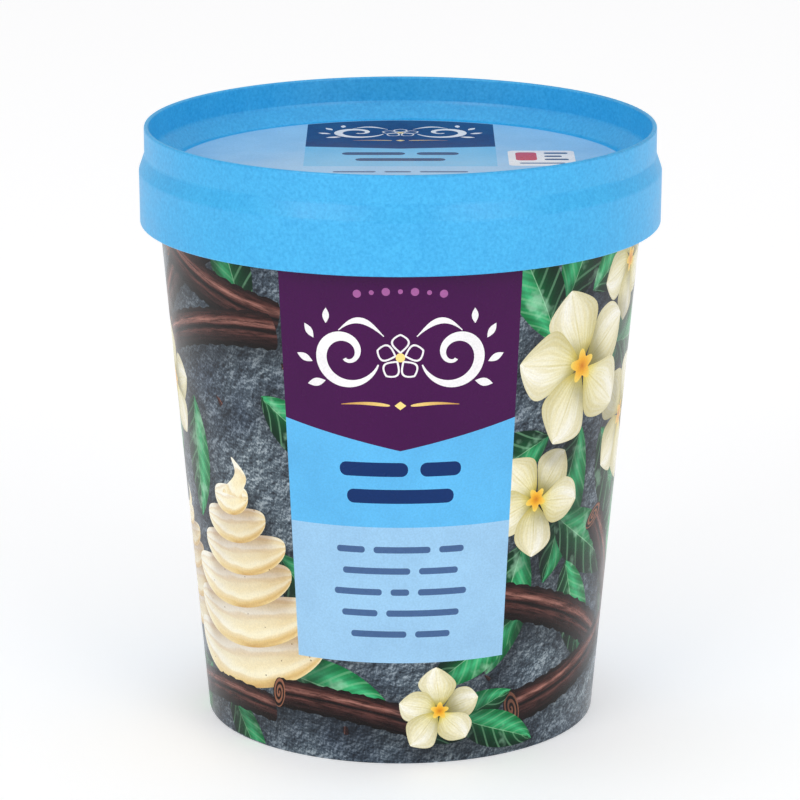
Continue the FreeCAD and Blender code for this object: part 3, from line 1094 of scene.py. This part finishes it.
# ---- the lid's label
def label_layout(radius):
    """Pale ground with a middle column of plain fields, an ornament and bars."""
    layout = Layout(lambda up: 1.0)
    half = 18.2
    reach = radius - 0.25
    turn = math.asin(half / reach)
    arc = [(math.sin(t) * reach, math.cos(t) * reach) for t in np.linspace(turn, -turn, 40)]
    point = [(-half, 16.5), (0, 14.5), (half, 16.5)]
    layout.plain(arc + point, "label_purple")
    layout.plain(point + [(half, -2.0), (-half, -2.0)], "label_blue")
    layout.ornament(0.0, 30.0, 0.72, "white", "label_purple", "gold")
    layout.words(0.0, 9.8, (12.0, 8.0), 2.6, 2.2, "navy")
    layout.words(0.0, 4.2, (17.0,), 2.6, 2.2, "navy")
    for i, lengths in enumerate(((8.0, 5.0, 9.0), (12.0, 7.0), (6.0, 10.0))):
        layout.words(0.0, -7.0 - 3.6 * i, lengths, 1.2, 1.6, "small_navy")
    # a small plain tag: a rounded square beside short bars
    layout.box(20.4, 33.0, -1.5, 12.6, "white", 1.2)
    layout.box(21.8, 25.8, 3.4, 11.0, "red", 1.0)
    for i, length in enumerate((4.6, 3.4, 4.6)):
        layout.words(27.2 + length / 2, 10.2 - 2.9 * i, (length,), 1.3, 1.0, "navy")
    layout.words(26.7, 0.9, (8.6,), 1.0, 1.0, "small_navy")
    # a blossom
    x, y = -26.0, -14.0
    for i in range(5):
        layout.blade(x, y, 90 + 72 * i, 8.5, 7.0, "petal", 0.1, 1.3, 0.04, 0.05)
    layout.star(layout.spot(x, y), 1.5, 1.7, 30)
    return layout


def build_label(paints):
    low, high = (np.array(corner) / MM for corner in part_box("lid_label"))
    radius = (high[0] - low[0]) / 2
    layout = label_layout(radius)
    angles = np.linspace(-math.pi, math.pi, 241)[:-1]
    border = [(radius * math.sin(a), -radius * math.cos(a)) for a in angles]
    grid_lines = np.arange(-42, 43, 3.0)
    dots = [(x, y) for x in grid_lines for y in grid_lines if math.hypot(x, y) < radius - 1]
    flat, triangles, shown = cut_print(border, layout.fields, dots)
    shell = Shell("lid_label_print", paints)
    shell.points = [(x, y, high[2]) for x, y in flat]
    for face, paint, pattern, shade in printed_faces(layout, "label_pale", flat, triangles, shown):
        place = 0.5 + flat[face] / radius * (0.48, 0.44) + (0, 0.04)
        shell.add(face, paint, pattern, place, 0.5 * shade, [(0, 0, 1)] * 3)
    on_rim = np.where(np.hypot(*flat.T) > radius - TOUCH)[0]
    rim, angles = in_order(on_rim, np.arctan2(flat[:, 0], -flat[:, 1]))
    under = shell.ring(radius, low[2], angles)
    shell.band(under, rim, "board", angles, 0.02, 0.03)
    shell.lid_over(under[::-1], low[2], "board", (0.05, 0.05), 0.01)
    return shell.build()


# ---- stage
LIGHTS = (  # name, place, what it faces, side, watts
    ("top", (0.0, 0.0, 2.5), (0, 0, 0), 3.0, 10.0),
    ("key", (-1.1, -1.5, 0.9), (0, 0, 0.06), 0.9, 7.0),
    ("fill", (1.1, -1.5, 0.8), (0, 0, 0.06), 0.9, 6.0),
)
FLOOR_SIZE = 12.0
CAMERA_PLACE = (0.0, -0.7295, 0.25705)
CAMERA_DOWN = 15.12  # degrees below level
CAMERA_LENS = 178.4


def build_stage():
    """A pale floor, soft white light, and the camera at the photo's angle."""
    bpy.ops.mesh.primitive_plane_add(size=FLOOR_SIZE)
    floor = bpy.context.object
    floor.name = "floor"
    paint = Paint("floor_paper")
    paint.set("Base Color", linear((246, 246, 247)))
    paint.set("Roughness", 0.6)
    paint.set("Emission Strength", 0.27)
    floor.data.materials.append(paint.material)
    floor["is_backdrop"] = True

    world = bpy.data.worlds.new("studio")
    world.use_nodes = True
    background = world.node_tree.nodes["Background"]
    background.inputs["Color"].default_value = linear((255, 255, 255))
    background.inputs["Strength"].default_value = 0.62
    bpy.context.scene.world = world
    for name, place, target, side, watts in LIGHTS:
        light = bpy.data.lights.new(name, "AREA")
        light.size = side
        light.energy = watts
        lamp = put(name, light)
        lamp.location = place
        lamp.rotation_euler = (Vector(target) - Vector(place)).to_track_quat("-Z", "Y").to_euler()

    camera = bpy.data.cameras.new("camera")
    camera.lens = CAMERA_LENS
    camera.shift_x = -0.0005
    view = put("camera", camera)
    view.location = CAMERA_PLACE
    view.rotation_euler = (math.radians(90 - CAMERA_DOWN), 0.0, 0.0)
    bpy.context.scene.camera = view
    bpy.context.scene.view_settings.view_transform = "Standard"


PLAIN_FIELDS = {  # colour, and roughness and gloss where they aren't the usual ones
    "purple": ((69, 2, 75),),
    "blue": ((97, 190, 244),),
    "pale": ((159, 206, 241),),
    "label_pale": ((166, 212, 249), 0.2, 0.3),
    "label_blue": ((126, 202, 246), 0.2, 0.3),
    "label_purple": ((22, 8, 92), 0.2, 0.1),
    "white": ((252, 250, 250),),
    "pink": ((176, 100, 164),),
    "navy": ((0, 46, 106),),
    "small_navy": ((72, 104, 150),),
    "red": ((206, 44, 62),),
}


def main():
    paints = {
        "slate": slate_paint(),
        "petal": petal_paint(),
        "throat": throat_paint(),
        "leaf": leaf_paint(),
        "bark": bark_paint(),
        "bark_end": bark_end_paint(),
        "cream": cream_paint(),
    }
    for name, look in PLAIN_FIELDS.items():
        paints[name] = field_paint("print_" + name, *look)
    paints["gold"] = gold_paint()
    paints["board"] = board_paint()
    tub = build_tub(paints)
    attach(tub, "root")
    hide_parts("tub")
    label = build_label(paints)
    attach(label, "root")
    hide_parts("lid_label")
    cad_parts["lid"].material_slots[0].material = lid_paint()
    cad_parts["tub_base"].material_slots[0].material = paints["board"]
    build_stage()


main()

boxes = {"cad": cad_box, "visual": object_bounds()}
{name: [[float(v) for v in corner] for corner in box] for name, box in boxes.items()}
